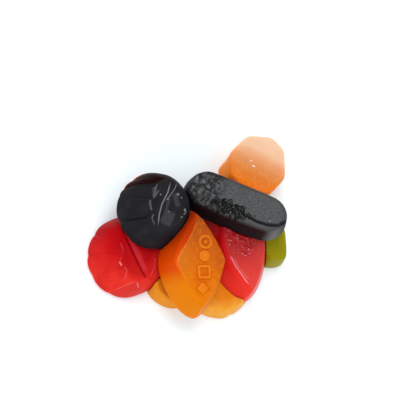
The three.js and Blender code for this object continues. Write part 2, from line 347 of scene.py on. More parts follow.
def bar_relief(relief):
    """Worn strips at one end, a sunken rough patch in the middle and a groove at the other end."""
    x, y = relief.x, relief.y
    for row in BAR_STRIP_ROWS:
        for column in BAR_STRIP_COLUMNS:
            worn = 0.2 * np.sin(2.3 * x + 1.7 * row) + 0.15 * np.sin(3.1 * y)
            strip = box_distance(x, y, (column, row), STRIP_LENGTH * 0.85, 0.7, corner=0.5)
            relief.stamp(strip + worn, STRIP_HEIGHT, 0.3)
    ragged = 0.16 * np.sin(2.1 * x + 1.3 * y) + 0.14 * np.sin(3.7 * y - 1.1 * x)
    patch = np.hypot((x - 2.7) / 2.1, (y + 1.3) / 5.6) + ragged
    relief.add("patch", 1 - smooth_step(0.88, 1.0, patch), -0.18)
    relief.pebbles((2.9, -1.0), (1.7, 4.8), (0.16, 0.42), 0.26, seed=5, count=90, bright=0.9)
    relief.groove([(0.6, 13.0), (2.3, 11.6), (3.1, 9.0), (3.3, 6.0), (2.9, 3.2)], steep=0.6, dark=0.5)
    relief.ridge([(2.7, -13.4), (3.9, -5.7)], 0.6, 0.35)
    relief.glints((2.0, 9.2), radius=0.35)
    relief.pebbles((-0.6, -3.0), (3.6, 10.0), (0.3, 0.8), 0.05, seed=6, count=60)
    relief.waves(seed=3, depth=0.07)


def orange_relief(relief):
    """Generic raised marks in a row: a ring with a dot, a disc, a square and a diamond."""
    x, y = relief.x, relief.y
    ring = np.abs(np.hypot(x - 1.7, y - 4.6) - 1.5) - MARK_LINE / 2
    dot = np.hypot(x - 1.7, y - 4.6) - 0.5
    disc = np.hypot(x - 1.2, y - 1.1) - 1.5
    square = np.abs(box_distance(x, y, (0.9, -2.9), 1.4, 1.4)) - MARK_LINE / 2
    diamond = box_distance(x, y, (0.2, -7.0), 1.2, 1.2, turn=TURN / 8)
    marks = np.minimum.reduce([ring, dot, disc, square, diamond])
    relief.stamp(marks, relief.sizes.mark_height / MM, 0.16)
    relief.ridge([(0.2, 9.8), (-3.4, 4.1), (-5.9, 0.5), (-6.1, -0.8), (-2.2, -8.4)], 0.4, 0.3)
    relief.waves(seed=4, depth=0.07)


def red_lozenge_relief(relief):
    """An oval field of pebbles, and two thin ridges from its left side down to the near tip."""
    field = np.hypot((relief.x + 0.2) / 5.0, (relief.y - 2.6) / 6.6)
    relief.add("patch", 1 - smooth_step(0.7, 1.1, field), 0.0)
    relief.pebbles((-0.2, 2.6), (4.7, 6.4), (0.2, 0.42), 0.2, seed=8, count=260, bright=0.84)
    relief.ridge([(-4.7, -1.4), (-3.2, -5.2), (0.2, -11.4)], 0.5, 1.0)
    relief.ridge([(-3.9, -1.7), (-2.4, -5.4), (0.6, -10.2)], 0.4, 0.6)
    relief.waves(seed=5, depth=0.06)


def pale_relief(relief):
    relief.glints((-1.8, 1.0), (-1.3, -0.4), (-1.0, -0.5), radius=0.25)
    relief.waves(seed=6, depth=0.08)


def low_relief(relief):
    relief.waves(seed=7, depth=0.08)


# ---------------------------------------------------------------- the gums

STRAIGHT_WALL = [(0.0, 0.0, 0.07), (0.45, -0.12, 0.5), (0.92, -0.06, 0.9), (1.0, 0.22, 0.975)]
DOMED_WALL = [(0.02, 0.0, 0.07), (0.05, 0.0, 0.2), (0.32, 0.0, 0.56), (0.6, 0.0, 0.8), (0.84, 0.0, 0.93),
              (0.96, 0.1, 0.985)]


class Gum:
    """One gum: its mould, where it lies and its fine relief."""

    def __init__(self, foot, crest, height, wall, relief, at, turn, lean=0.0, toward=0.0,
                 taper=0.0, flutes=()):
        self.foot, self.crest, self.height, self.wall = foot, crest, height, wall
        self.relief, self.taper, self.flutes = relief, taper, flutes
        heading = math.radians(toward)
        rotation = (Quaternion((-math.sin(heading), math.cos(heading), 0), math.radians(lean))
                    @ Quaternion((0, 0, 1), math.radians(turn)))
        middle = Vector((at[0] - HEAP_MIDDLE[0], at[1] - HEAP_MIDDLE[1], at[2])) * MM
        self.place = Matrix.Translation(middle) @ rotation.to_matrix().to_4x4()


def crown(foot, crest, relief, **place):
    return Gum(sided(foot, 9), sided(crest, 9), CROWN_HEIGHT, DOMED_WALL, relief, **place)


def oval(foot, crest, relief, **place):
    return Gum(lozenge(*foot), lozenge(*crest), LOZENGE_HEIGHT, STRAIGHT_WALL, relief, **place)


def low_gum(sides, corner, inset, height, **place):
    crest = [side - inset for side in sides]
    return Gum(sided(sides, corner), sided(crest, corner), height, STRAIGHT_WALL, low_relief, **place)


# From the top of the heap down, the way they cover one another.
GUMS = {
    "black_crown": crown(
        [10.1, 9.4, 9.4, 9.6, 10.3, 9.9, 9.9, 10.3], [6.8, 6.2, 3.4, 6.2, 6.9, 6.8, 6.9, 6.8],
        black_crown_relief, at=(-14.6, -4.7, 7.7), turn=83, lean=4.3, toward=80,
        flutes=((42, 15, 0.5), (63, 30, 0.7), (77, 80, 0.4), (119, 145, 1))),
    "black_bar": Gum(
        oblong(BAR_LENGTH, BAR_WIDTH), oblong(BAR_LENGTH - BAR_SLOPE, BAR_WIDTH - BAR_SLOPE),
        BAR_HEIGHT, STRAIGHT_WALL, bar_relief, taper=0.12,
        at=(7.7, -2.9, 8.0), turn=-111.5, lean=10.4, toward=148),
    "orange_lozenge": oval(
        (8.6, 14.0, 1.6), (6.8, 11.7, 1.2), orange_relief,
        at=(-4.3, -17.9, 7.7), turn=4, lean=2.6, toward=-23),
    "red_lozenge": oval(
        (9.1, 14.4, 1.8), (6.2, 12.4, 1.35), red_lozenge_relief,
        at=(9.4, -12.6, 1.4), turn=10, lean=3.6, toward=0),
    "red_crown": crown(
        [10.3, 10.6, 11.1, 11.4, 10.5, 10.9, 10.5, 10.3], [6.6, 6.4, 4.2, 6.8, 7.4, 7.2, 6.8, 7.0],
        red_crown_relief, at=(-18.9, -15.4, 0), turn=115.5,
        flutes=((35, 40, 0.8), (67, 71, 0.8), (95, 118, 0.5), (130, 130, 0.4))),
    "pale_octagon": Gum(
        sided([9.2, 9.7, 9.0, 6.3, 8.7, 8.9, 9.0, 8.6], 20),
        sided([7.9, 8.8, 7.9, 7.5, 7.7, 7.7, 7.8, 7.8], 20),
        OCTAGON_HEIGHT, STRAIGHT_WALL, pale_relief, at=(14.7, 9.6, 0), turn=0.7),
    "green_gum": low_gum(
        [4.4, 5.7, 6.6, 6.1, 5.4, 6.0, 6.6, 6.7], 10, 1.5, GREEN_HEIGHT, at=(20.0, -10.4, 0), turn=3.5),
    "amber_crown": low_gum(
        [8.4, 7.8, 7.6, 8.1, 7.9, 7.9, 7.9, 8.0], 10, 1.6, AMBER_HEIGHT, at=(6.2, -23.1, 0), turn=-140,
        flutes=((72, 72, 1),)),
    "amber_round": low_gum(
        [7.2, 7.5, 7.0, 7.4, 7.2, 7.0, 7.0, 7.0], 6, 1.5, AMBER_HEIGHT, at=(-7.0, -21.7, 0), turn=153.5),
}


# ------------------------------------------------------------- mesh making

# Points around a ring, rings in the wall, and rings in the top of each mesh.
FINENESS = {
    "black_crown": (360, 60, 60),
    "black_bar": (440, 36, 84),
    "orange_lozenge": (440, 36, 84),
    "red_lozenge": (420, 36, 84),
    "red_crown": (360, 60, 60),
    "pale_octagon": (320, 36, 50),
    "green_gum": (240, 36, 30),
    "amber_crown": (360, 36, 30),
    "amber_round": (240, 36, 30),
}
PRESS_FINENESS = (120, 24, 4)


def flute_inset(flutes, angle, share, depth):
    """How far flutes pull the wall in, and how strong their creases are.
    Each runs from one angle at the foot to another at the crest, with a strength from 0 to 1."""
    inset, crease = np.zeros_like(angle), np.zeros_like(angle)
    for low, high, strength in flutes:
        off = np.degrees(angle) - (low + (high - low) * share)
        near = np.sqrt(off ** 2 + FLUTE_ROUNDING ** 2) - FLUTE_ROUNDING
        inset += strength * depth * (1 - 0.5 * share) * np.exp(-near / FLUTE_SPREAD)
        crease += strength * np.exp(-(off / CREASE_SPREAD) ** 2)
    return inset, crease


def profile(gum, grow, rings):
    """Rows of share, inset, height and flute from the foot to the crest, on a smooth curve."""
    rows = [(0.0, FOOT_INSET, -grow, 1.0)]
    rows += [(share, inset, level * gum.height, 1.0) for share, inset, level in gum.wall]
    rows += [(1.0, CREST_INSET, gum.height + grow, 1.0)]
    if grow == 0:
        rows += [(1.0, CREST_INSET + LIP, gum.height - DISH, 0.0)]
    rows = np.array(rows)
    slopes = np.gradient(rows, axis=0)
    slopes[0] = rows[1] - rows[0]
    slopes[-1] = (rows[-1] - rows[-2]) * (0.2 if grow == 0 else 1)
    at = np.linspace(0, len(rows) - 1, rings)
    i = np.minimum(at.astype(int), len(rows) - 2)
    t = (at - i)[:, None]
    a, b = rows[i], rows[i + 1]
    return ((2 * t**3 - 3 * t**2 + 1) * a + (t**3 - 2 * t**2 + t) * slopes[i]
            + (3 * t**2 - 2 * t**3) * b + (t**3 - t**2) * slopes[i + 1])


def ring_grid(gum, around, up, across, flute_depth, grow=0.0):
    """Points of a gum, ring by ring from the middle of the foot to the middle of the top, in mm,
    with how far inward each lies: 0 at the foot, 1 at the crest, 1.2 inside the lip, then over 2."""
    angle = np.arange(around) / around * TURN
    foot, crest = gum.foot(angle), gum.crest(angle)
    radii = [(foot + grow) * 0.5]
    heights = [-grow]
    inward = [0.0]
    creases = [np.zeros(around)]
    for share, inset, z, fluted in profile(gum, grow, up):
        flute, crease = flute_inset(gum.flutes, angle, share, flute_depth)
        radii.append(foot * (1 - share) + crest * share - flute * fluted - inset + grow)
        heights.append(z)
        inward.append(max(share, 0) + (1 - fluted) * LIP_SHARE)
        creases.append(crease * fluted)
    field = radii[-1]
    top = heights[-1]
    for i in range(1, across):
        share = i / across
        radii.append(field * (1 - share))
        heights.append(top if grow else top - DISH * 0.5 * share)
        inward.append(1 + LIP_SHARE + share)
        creases.append(np.zeros(around))
    r = np.maximum(np.array(radii), 0.02)
    x, y = r * np.cos(angle), r * np.sin(angle)
    x = x * (1 - gum.taper * np.maximum(y / gum.foot(np.array(TURN / 4)), 0) ** 2)
    z = np.repeat(np.array(heights)[:, None], around, 1)
    return x, y, z, np.repeat(np.array(inward)[:, None], around, 1), np.array(creases)


def closed_mesh(name, x, y, z):
    """A closed mesh from rings of points, with a point in the middle of the foot and of the top."""
    rings, around = x.shape
    points = np.column_stack([x.ravel(), y.ravel(), z.ravel()])
    points = np.vstack([points, (0, 0, z[0, 0]), (0, 0, z[-1].mean())]) * MM
    i = np.arange(around)
    j = (i + 1) % around
    start = np.arange(rings - 1)[:, None] * around
    quads = np.stack([start + i, start + j, start + around + j, start + around + i], -1).reshape(-1, 4)
    under, over = rings * around, rings * around + 1
    last = (rings - 1) * around
    caps = ([(under, b, a) for a, b in zip(i.tolist(), j.tolist())]
            + [(over, last + a, last + b) for a, b in zip(i.tolist(), j.tolist())])
    mesh = bpy.data.meshes.new(name)
    mesh.from_pydata(points.tolist(), [], quads.tolist() + caps)
    return mesh


def set_attribute(mesh, name, rings, ends, kind="FLOAT"):
    """Stores a value for each ring point and for the two middle points."""
    layer = mesh.attributes.new(name, kind, "POINT")
    field = "value" if kind == "FLOAT" else "vector"
    values = np.concatenate([np.ravel(rings), np.ravel(ends)])
    layer.data.foreach_set(field, values.astype(np.float32))


def pressing_body(gum, sizes):
    """The swollen shape of a covering gum, which the gums beneath give way to."""
    x, y, z, _, _ = ring_grid(gum, *PRESS_FINENESS, sizes.flute_depth / MM, sizes.gap / MM)
    body = bpy.data.objects.new("press", closed_mesh("press", x, y, z))
    body.matrix_world = gum.place
    bpy.context.scene.collection.objects.link(body)
    return body


def drop_crumbs(mesh):
    """Keeps the largest piece of what a cut leaves."""
    edges = np.empty(len(mesh.edges) * 2, np.int64)
    mesh.edges.foreach_get("vertices", edges)
    edges = edges.reshape(-1, 2)
    label = np.arange(len(mesh.vertices))
    while True:
        lowest = np.minimum(label[edges[:, 0]], label[edges[:, 1]])
        was = label.copy()
        np.minimum.at(label, edges[:, 0], lowest)
        np.minimum.at(label, edges[:, 1], lowest)
        label = label[label]
        if (label == was).all():
            break
    names, counts = np.unique(label, return_counts=True)
    crumbs = np.flatnonzero(label != names[counts.argmax()])
    if len(crumbs):
        shape = bmesh.new()
        shape.from_mesh(mesh)
        shape.verts.ensure_lookup_table()
        bmesh.ops.delete(shape, geom=[shape.verts[int(i)] for i in crumbs], context="VERTS")
        shape.to_mesh(mesh)
        shape.free()


def pour(name, sizes, material):
    """Makes one gum in place, lets the gums above press into it, and puts it in the frame."""
    gum = GUMS[name]
    x, y, z, inward, crease = ring_grid(gum, *FINENESS[name], sizes.flute_depth / MM)
    relief = Relief(x, y, sizes)
    relief.masks["crease"] = crease
    gum.relief(relief)
    on_wall_or_top = smooth_step(0.0, 0.3, inward)
    z = z + relief.height * on_wall_or_top
    mesh = closed_mesh(name + "_gum", x, y, z)
    mould = np.stack([x, y, z], -1)
    set_attribute(mesh, "mould", mould, [(0, 0, z[0, 0]), (0, 0, z[-1].mean())], "FLOAT_VECTOR")
    set_attribute(mesh, "inward", inward, (0, 2))
    for mask, values in relief.masks.items():
        set_attribute(mesh, mask, values * on_wall_or_top, (0, values[-1].mean()))
    mesh.transform(gum.place)
    piece = bpy.data.objects.new(name + "_gum", mesh)
    bpy.context.scene.collection.objects.link(piece)

    covering = [pressing_body(above, sizes) for above in list(GUMS.values())[:list(GUMS).index(name)]]
    for body in covering:
        cut = piece.modifiers.new("give_way", "BOOLEAN")
        cut.solver = "MANIFOLD"
        cut.operation = "DIFFERENCE"
        cut.object = body
    evaluated = piece.evaluated_get(bpy.context.evaluated_depsgraph_get())
    made = bpy.data.meshes.new_from_object(evaluated)
    piece.modifiers.clear()
    piece.data = made
    bpy.data.meshes.remove(mesh)
    for body in covering:
        shape = body.data
        bpy.data.objects.remove(body)
        bpy.data.meshes.remove(shape)
    drop_crumbs(made)
    made.name = name + "_gum"
    made.shade_smooth()
    if not len(made.polygons):
        raise RuntimeError(f"{name} came out empty")
    made.materials.clear()
    made.materials.append(material)
    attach(piece, "root")
    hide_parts(name)


# --------------------------------------------------------------- materials


class Socket:
    """A shader value that can be used in a Python expression."""

    def __init__(self, shader, link):
        self.shader, self.link = shader, link

    def _math(self, operation, *values):
        return self.shader.node("ShaderNodeMath", {"operation": operation}, dict(enumerate(values)))

    def __add__(self, other):
        return self._math("ADD", self, other)

    def __radd__(self, other):
        return self._math("ADD", other, self)

    def __sub__(self, other):
        return self._math("SUBTRACT", self, other)

    def __rsub__(self, other):
        return self._math("SUBTRACT", other, self)

    def __mul__(self, other):
        return self._math("MULTIPLY", self, other)

    def __rmul__(self, other):
        return self._math("MULTIPLY", other, self)

    def __truediv__(self, other):
        return self._math("DIVIDE", self, other)

    def __rtruediv__(self, other):
        return self._math("DIVIDE", other, self)

    def __pow__(self, other):
        return self._math("POWER", self, other)

    def __rpow__(self, other):
        return self._math("POWER", other, self)

    def ramp(self, low, high):
        """0 at low, 1 at high, eased between."""
        return self.shader.node("ShaderNodeMapRange", {"interpolation_type": "SMOOTHSTEP"},
                                {"Value": self, "From Min": low, "From Max": high})


class Shader:
    """A material's nodes, written as expressions on Sockets."""

    def __init__(self, name):
        self.material = bpy.data.materials.new(name)
        self.material.use_nodes = True
        self.tree = self.material.node_tree
        self.surface = self.tree.nodes["Principled BSDF"]
        self.mould = self.node("ShaderNodeAttribute", {"attribute_name": "mould"}, output="Vector")
        split = self.node("ShaderNodeSeparateXYZ", {}, {"Vector": self.mould}, output=None)
        self.x, self.y, self.z = (Socket(self, split.outputs[i]) for i in range(3))

    def node(self, kind, settings=None, values=None, output=0):
        """Adds a node: its settings first, then the value or link of each named socket."""
        made = self.tree.nodes.new(kind)
        for key, value in (settings or {}).items():
            setattr(made, key, value)
        for key, value in (values or {}).items():
            self.feed(made.inputs[key], value)
        return made if output is None else Socket(self, made.outputs[output])

    def feed(self, socket, value):
        if isinstance(value, Socket):
            self.tree.links.new(value.link, socket)
        else:
            socket.default_value = value

    def mask(self, name):
        return self.node("ShaderNodeAttribute", {"attribute_name": name}, output="Fac")

    def mix(self, share, first, second):
        """First colour where share is 0, second where it is 1."""
        made = self.node("ShaderNodeMix", {"data_type": "RGBA", "clamp_factor": True}, output=None)
        inputs = {socket.identifier: socket for socket in made.inputs}
        self.feed(inputs["Factor_Float"], share)
        for key, value in (("A_Color", first), ("B_Color", second)):
            self.feed(inputs[key], value if isinstance(value, Socket) else (*value, 1))
        return Socket(self, next(s for s in made.outputs if s.identifier == "Result_Color"))

    def layers(self, ground, *coats):
        """A colour with others laid over it in turn, each given as its share and its colour."""
        for share, tint in coats:
            ground = self.mix(share, ground, tint)
        return ground

    def noise(self, scale, detail=3.0, roughness=0.5, distortion=0.0):
        """Noise in the gum's own millimetres."""
        return self.node("ShaderNodeTexNoise", {}, {
            "Vector": self.mould, "Scale": scale, "Detail": detail, "Roughness": roughness,
            "Distortion": distortion})

    def along(self, heading):
        """Distance from the gum's middle towards a heading, in mm."""
        return self.x * math.cos(math.radians(heading)) + self.y * math.sin(math.radians(heading))

    def near(self, x, y, reach):
        """1 at a place on the gum, 0 beyond `reach` mm, seen from above."""
        dx, dy = self.x - x, self.y - y
        return 1 - ((dx * dx + dy * dy) ** 0.5).ramp(0.0, reach)

    def gelatine(self, base, roughness, bump, height=0.05, spread=0.2, gloss=0.06, coat=0.0):
        """Finishes a gum: light spreads inside it the same all over, and its skin has a fine grain."""
        self.feed(self.surface.inputs["Base Color"], base)
        self.feed(self.surface.inputs["Roughness"], roughness)
        self.feed(self.surface.inputs["Coat Weight"], coat)
        grain = self.node("ShaderNodeBump", {}, {"Height": bump, "Distance": height * MM, "Strength": 1.0})
        self.feed(self.surface.inputs["Normal"], grain)
        for name, value in {
                "Subsurface Weight": spread, "Subsurface Scale": 1.2 * MM,
                "Subsurface Radius": (1.0, 0.3, 0.15), "IOR": 1.45, "Specular IOR Level": gloss,
                "Coat Roughness": 0.12}.items():
            self.feed(self.surface.inputs[name], value)
        return self.material


# Small touches of colour, beside the main colours of the settings.
CROWN_CLOUD = (0.026, 0.025, 0.029)
# Grey mottle on the black crown's dull facets.
CROWN_FACET_GREY = (0.075, 0.075, 0.075)
# Painted shade in the creases of the black crown.
CROWN_CREASE_SHADE = (0.002, 0.002, 0.002)
# Painted highlights on the black crown's ridges and specks.
CROWN_LINE_HIGHLIGHT = (0.20, 0.20, 0.205)

# Grey of the bar's dulled top, partly painted sheen.
BAR_TOP_DULL_AND_SHEEN = (0.05, 0.05, 0.051)
BAR_SPECK = (0.108, 0.109, 0.109)
BAR_SOOT = (0.014, 0.014, 0.0145)
BAR_ASH = (0.17, 0.17, 0.17)
BAR_WORN = (0.012, 0.012, 0.0125)
BAR_SHEEN = (0.10, 0.102, 0.104)
BAR_WET = (0.001, 0.001, 0.0011)
# Painted highlights on the bar's ridge, speck and pebble tips.
BAR_LINE_HIGHLIGHT = (0.24, 0.24, 0.24)
# Painted reflection on the wall at the bar's far end.
BAR_TIP_REFLECTION = (0.19, 0.19, 0.195)
# Painted highlight on the tops of the raised strips.
STRIP_TOP_HIGHLIGHT = (0.2, 0.2, 0.2)
# Painted shade on the sides of the raised strips.
STRIP_SIDE_SHADE = (0.012, 0.012, 0.012)

# Painted shade along the far rim of the red crown.
RED_FAR_RIM_SHADE = (0.20, 0.0, 0.001)
RED_FLAT_SIDE = (0.60, 0.03, 0.024)
# Painted shade in the red crown's groove.
RED_GROOVE_SHADE = (0.28, 0.0, 0.002)
# Painted highlight on the bevel beside the groove.
RED_BEVEL_HIGHLIGHT = (0.62, 0.035, 0.055)
# Painted highlights on the red crown's ridges and speck.
RED_LINE_HIGHLIGHT = (0.86, 0.24, 0.24)

ORANGE_WALL = (0.66, 0.058, 0.0)
# Painted shadow on the far part of the orange face, near the black gums.
ORANGE_FAR_SHADOW = (0.32, 0.054, 0.006)
ORANGE_RIGHT = (0.47, 0.075, 0.004)
# Painted highlight on the left part of the orange face.
ORANGE_LEFT_HIGHLIGHT = (0.62, 0.165, 0.022)
ORANGE_VEIN = (0.60, 0.075, 0.001)
ORANGE_CLOUD = (0.84, 0.25, 0.02)
# Painted shade on the orange face around the marks.
ORANGE_MARK_SHADE = (0.62, 0.075, 0.0)
# Painted highlight along the edge of the orange face.
ORANGE_LINE_HIGHLIGHT = (0.86, 0.34, 0.06)
# Painted highlight on the tops of the raised marks.
MARK_TOP_HIGHLIGHT = (0.80, 0.235, 0.012)
# Painted shade on the sides of the raised marks.
MARK_SIDE_SHADE = (0.50, 0.062, 0.0)

# Pebbled face at its near end, painted light.
PEBBLED_NEAR_LIT = (0.70, 0.056, 0.043)
# Pebbled face at its far end, in painted shade.
PEBBLED_FAR_SHADE = (0.42, 0.010, 0.015)
PEBBLED_RIGHT = (0.63, 0.062, 0.05)
PEBBLED_PIT = (0.29, 0.003, 0.006)
# Painted highlights on the ridges and pebble tips of the red lozenge.
PEBBLED_LINE_HIGHLIGHT = (0.88, 0.33, 0.34)

PALE_STRIP = (0.90, 0.18, 0.002)
PALE_MOTTLE = (0.90, 0.48, 0.24)
PALE_GLINT = (0.95, 0.88, 0.8)


def black_crown_finish(colours):
    """Glossy black, with painted light coming through as dark red in one petal and as brighter red along a
    thin part of its foot; grey mottle on its dull facets, painted shade in its creases and painted
    highlights on its ridges and specks.
    """
    skin = Shader("blackcurrant_gloss")
    # Painted light coming through: dark red in one thin petal, brighter red along the thin foot.
    petal = (skin.x + skin.y * 0.13).ramp(4.6, 5.2) * skin.along(37.0).ramp(4.6, 5.2)
    thin_side = skin.along(-20.0).ramp(-4.0, 9.0) * 0.34
    fringe = 1 - (skin.z / CROWN_HEIGHT - thin_side).ramp(-0.22, 0.16)
    facets = skin.mask("patch")
    scuffs = skin.noise(4.0, 5, 0.7)
    base = skin.layers(
        colours.black,
        (skin.noise(0.3, 2).ramp(0.4, 0.7) * 0.5, CROWN_CLOUD),
        (petal, colours.black_thin),
        (fringe * skin.along(32.0).ramp(2.5, 6.0), colours.black_lit_fringe),
        # Grey mottle on the dull facets, then painted shade in the creases and painted highlights on the
        # ridges and specks.
        (facets * scuffs.ramp(0.3, 0.62) * 0.65, CROWN_FACET_GREY),
        (skin.mask("crease") * 0.75, CROWN_CREASE_SHADE),
        (skin.mask("line").ramp(0.2, 0.95), CROWN_LINE_HIGHLIGHT))
    grain = skin.noise(2.2, 5, 0.6) + facets * skin.noise(1.1, 3) * 2
    return skin.gelatine(base, 0.34 + scuffs * 0.16, grain, 0.05, spread=0.0, gloss=0.02)


def black_bar_finish(colours):
    """Black walls with painted light coming through near their top, and a dulled top whose grey is partly
    painted sheen, with soot and ash flecks and one wet, glossy patch; painted highlights and shade on its
    strips, painted shade in its groove, and painted sheen and highlights by the groove, on its lines and
    at its far end.
    """
    skin = Shader("blackcurrant_dull")
    flecks = skin.noise(0.9, 6, 0.7)
    worn_end = skin.y.ramp(-3.0, -6.5) * 0.85
    by_groove = skin.x.ramp(3.1, 3.8) * skin.y.ramp(2.5, 5.0) * (1 - skin.y.ramp(9.0, 11.0))
    # Grey top: partly dull skin, partly painted sheen, with specks and flecks.
    top = skin.layers(
        BAR_TOP_DULL_AND_SHEEN,
        (skin.noise(2.6, 6, 0.75).ramp(0.36, 0.66), BAR_SPECK),
        (skin.noise(0.35, 3).ramp(0.4, 0.68) * 0.6, colours.dull),
        (flecks.ramp(0.6, 0.68), BAR_SOOT),
        ((1 - flecks.ramp(0.33, 0.4)) * 0.5, BAR_ASH),
        (worn_end * skin.noise(0.8, 4, 0.6).ramp(0.4, 0.56), BAR_WORN),
        (by_groove * 0.6, BAR_SHEEN))
    strips = skin.mask("mark")
    strip_sides = 4 * strips * (1 - strips)
    dull_islands = skin.noise(1.3, 5, 0.7).ramp(0.57, 0.63) * 0.85
    wet = skin.mask("patch") * (1 - dull_islands)
    # Where the wall at the far end gets its painted reflection.
    tip = skin.near(4.6, 12.6, 3.9) * (1 - skin.mask("inward").ramp(0.75, 1.1))
    base = skin.layers(
        colours.black,
        # Painted light coming through the wall, reddish towards its top.
        (skin.z.ramp(0.5, 6.5) * 0.6, colours.black_thin),
        (skin.mask("inward").ramp(0.7, 1.15), top),
        # Painted highlight on the strip tops, painted shade on their sides.
        (strips * skin.noise(1.1, 4, 0.7).ramp(0.46, 0.66) * 0.7, STRIP_TOP_HIGHLIGHT),
        (strip_sides * skin.noise(0.5, 2).ramp(0.35, 0.6) * 0.6, STRIP_SIDE_SHADE),
        (wet, BAR_WET),
        # Painted shade in the groove, in the plain black; then painted highlights on the lines and the
        # painted reflection at the far end.
        (skin.mask("dent").ramp(0.1, 0.8), colours.black),
        (skin.mask("line").ramp(0.35, 0.95) * 0.7, BAR_LINE_HIGHLIGHT),
        (tip * 0.85, BAR_TIP_REFLECTION))
    grain = skin.noise(1.8, 6, 0.7) + wet * skin.noise(1.5, 4, 0.7)
    return skin.gelatine(base, 0.52 - wet * 0.25, grain, 0.07, spread=0.0, gloss=0.05, coat=wet * 0.18)


def red_crown_finish(colours):
    """Painted light in light red on the near side and painted shade in deep red on the far side and far
    rim, with painted shade in the creases, the groove and over the top, and painted highlights on the
    bevel and the ridges.
    """
    skin = Shader("red_gelatine_gloss")
    far = skin.along(-25.5)
    wall = 1 - skin.mask("inward").ramp(0.2, 1.0)
    flat_side = skin.x.ramp(-6.7, -7.2) * skin.y.ramp(1.0, 2.5)
    bevel = skin.y.ramp(0.3, -0.2) * skin.y.ramp(-1.6, -0.7) * skin.mask("inward").ramp(1.05, 1.2)
    base = skin.layers(
        # Painted light on the near side and near wall; painted shade on the far side, far rim, creases and
        # top; a darker mottle.
        colours.red_light,
        (far.ramp(-9.0, 1.0), colours.red),
        (far.ramp(0.5, 7.5) * 0.95, colours.red_shade_and_mottle),
        (far.ramp(7.0, 10.5) * 0.8, RED_FAR_RIM_SHADE),
        (wall * (1 - far.ramp(-2.0, 6.0)) * 0.5, colours.red_light),
        (skin.noise(0.25, 2).ramp(0.42, 0.7) * 0.3 + 0.08, colours.red_shade_and_mottle),
        (skin.mask("crease") * 0.3, colours.red_shade_and_mottle),
        (skin.mask("inward").ramp(0.8, 1.1) * 0.45, colours.red_shade_and_mottle),
        (flat_side * 0.7, RED_FLAT_SIDE),
        # Painted shade in the groove, then a painted highlight on its bevel.
        (skin.mask("dent").ramp(0.1, 0.9) * 0.9, RED_GROOVE_SHADE),
        (bevel * 0.5, RED_BEVEL_HIGHLIGHT),
        # Painted highlights on the ridges and the speck.
        (skin.mask("line").ramp(0.15, 0.95) * 0.75, RED_LINE_HIGHLIGHT))
    grain = skin.noise(3.5, 4) + skin.noise(0.7, 2) * 1.5
    return skin.gelatine(base, 0.3 + skin.noise(1.2, 3) * 0.12, grain, 0.03, gloss=0.03)


def orange_finish(colours):
    """A lighter face with veins, painted shadow at its far end, painted shade by its marks and painted
    highlights on its left part, its marks and its edge line, in a deep orange wall painted light at its
    near end and in painted shade at its far end.
    """
    skin = Shader("orange_gelatine")
    # The wall is painted light at its near end and in painted shade at its far end.
    wall = skin.layers(
        colours.orange_light,
        (skin.y.ramp(-6.5, -1.0), ORANGE_WALL),
        (skin.y.ramp(0.0, 9.0), colours.orange_shade))
    by_marks = skin.near(0.6, -5.0, 5.5) * skin.x.ramp(-2.4, -1.0) * (1 - skin.x.ramp(2.5, 3.6))
    marks = skin.mask("mark")
    mark_sides = 4 * marks * (1 - marks)
    face = skin.layers(
        # Painted light at the near end, painted shadow at the far end, a painted highlight on the left,
        # painted shade by the marks, painted highlights on the mark tops and painted shade on their sides.
        colours.orange_light,
        (skin.y.ramp(-12.0, 6.0), colours.orange),
        (skin.y.ramp(1.0, 11.0) * 0.9, ORANGE_FAR_SHADOW),
        (skin.x.ramp(2.0, 5.5) * skin.y.ramp(-6.0, 0.0) * 0.75, ORANGE_RIGHT),
        (skin.x.ramp(-1.0, -6.5) * skin.y.ramp(-6.0, 2.0) * 0.5, ORANGE_LEFT_HIGHLIGHT),
        (skin.noise(0.55, 4, 0.6, 0.6).ramp(0.5, 0.68) * 0.3, ORANGE_VEIN),
        (skin.noise(0.9, 3).ramp(0.5, 0.7) * 0.25, ORANGE_CLOUD),
        (by_marks * skin.noise(0.8, 3, 0.6).ramp(0.35, 0.6) * 0.6, ORANGE_MARK_SHADE),
        (marks * 0.45, MARK_TOP_HIGHLIGHT),
        (mark_sides * 0.5, MARK_SIDE_SHADE))
    # The face reaches a little past the crest on the right and stops short of it at the upper left.
    reach = skin.x.ramp(-1.0, 2.0) * 0.1 - skin.x.ramp(0.0, -2.0) * skin.y.ramp(1.5, 7.0) * 0.2
    base = skin.layers(
        wall,
        ((skin.mask("inward") + reach).ramp(0.98, 1.05), face),
        # Painted highlight along the edge line.
        (skin.mask("line").ramp(0.05, 0.3) * 0.35, ORANGE_LINE_HIGHLIGHT))
    roughness = 0.34 + skin.noise(1.5, 3) * 0.12
    return skin.gelatine(base, roughness, skin.noise(1.6, 4, 0.55), 0.05, gloss=0.04)


